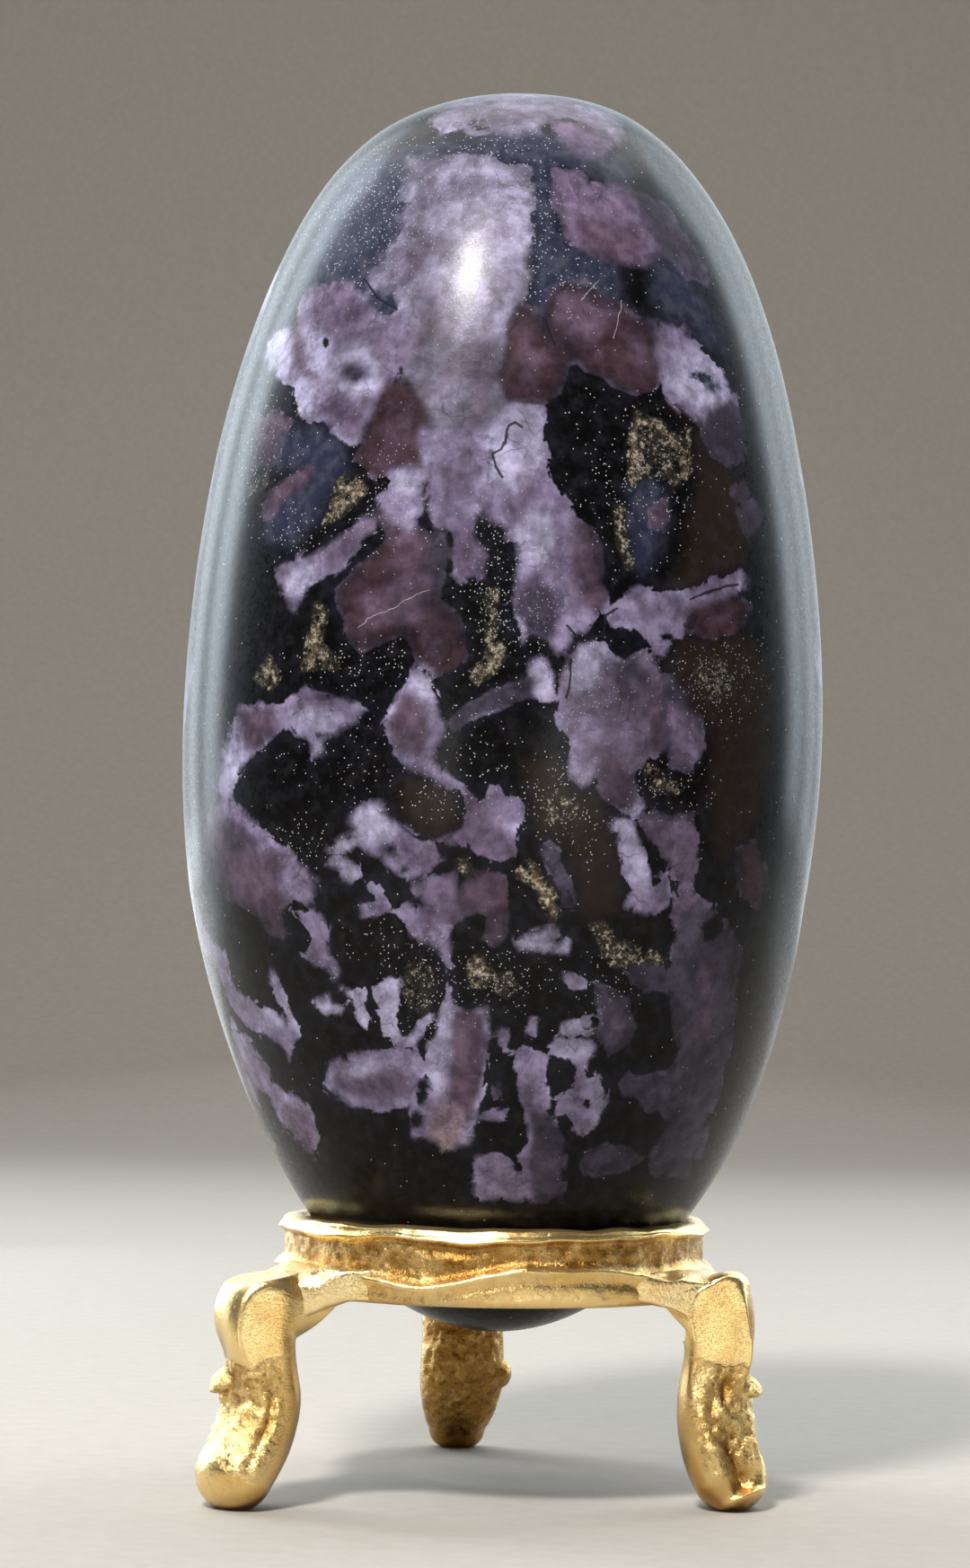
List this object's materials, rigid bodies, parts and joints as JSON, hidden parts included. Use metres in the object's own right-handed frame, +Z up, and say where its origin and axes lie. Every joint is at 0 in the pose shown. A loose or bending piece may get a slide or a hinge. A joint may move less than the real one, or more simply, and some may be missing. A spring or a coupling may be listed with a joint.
{
  "type": "lingam stone on stand",
  "caption": "Egg-shaped polished dark stone with lavender patches, standing upright in a gilt cast ring on curved legs; the stone lifts out of the ring.",
  "frame": {"origin": "centre of the ring's axis on the table, under the stone", "axes": "+Z up along the axis of the ring and the stone, -Y towards the viewer, +X to the viewer's right"},
  "size_m": [0.0746, 0.0749, 0.1616],
  "materials": {
    "stone": "polished",
    "gilt": "polished",
    "braze": "satin"
  },
  "bodies": {
    "stand": {"seat_ring": "gilt", "leg_left": "gilt", "leg_right": "gilt", "leg_back": "gilt", "braze_left": "braze", "braze_right": "braze", "braze_back": "braze"},
    "stone": {"stone": "stone"}
  },
  "joints": [
    {"name": "stone_lift", "type": "slide", "parent": "stand", "child": "stone", "axis": [0, 0, 1], "range_m": [0, 0.06]}
  ]
}
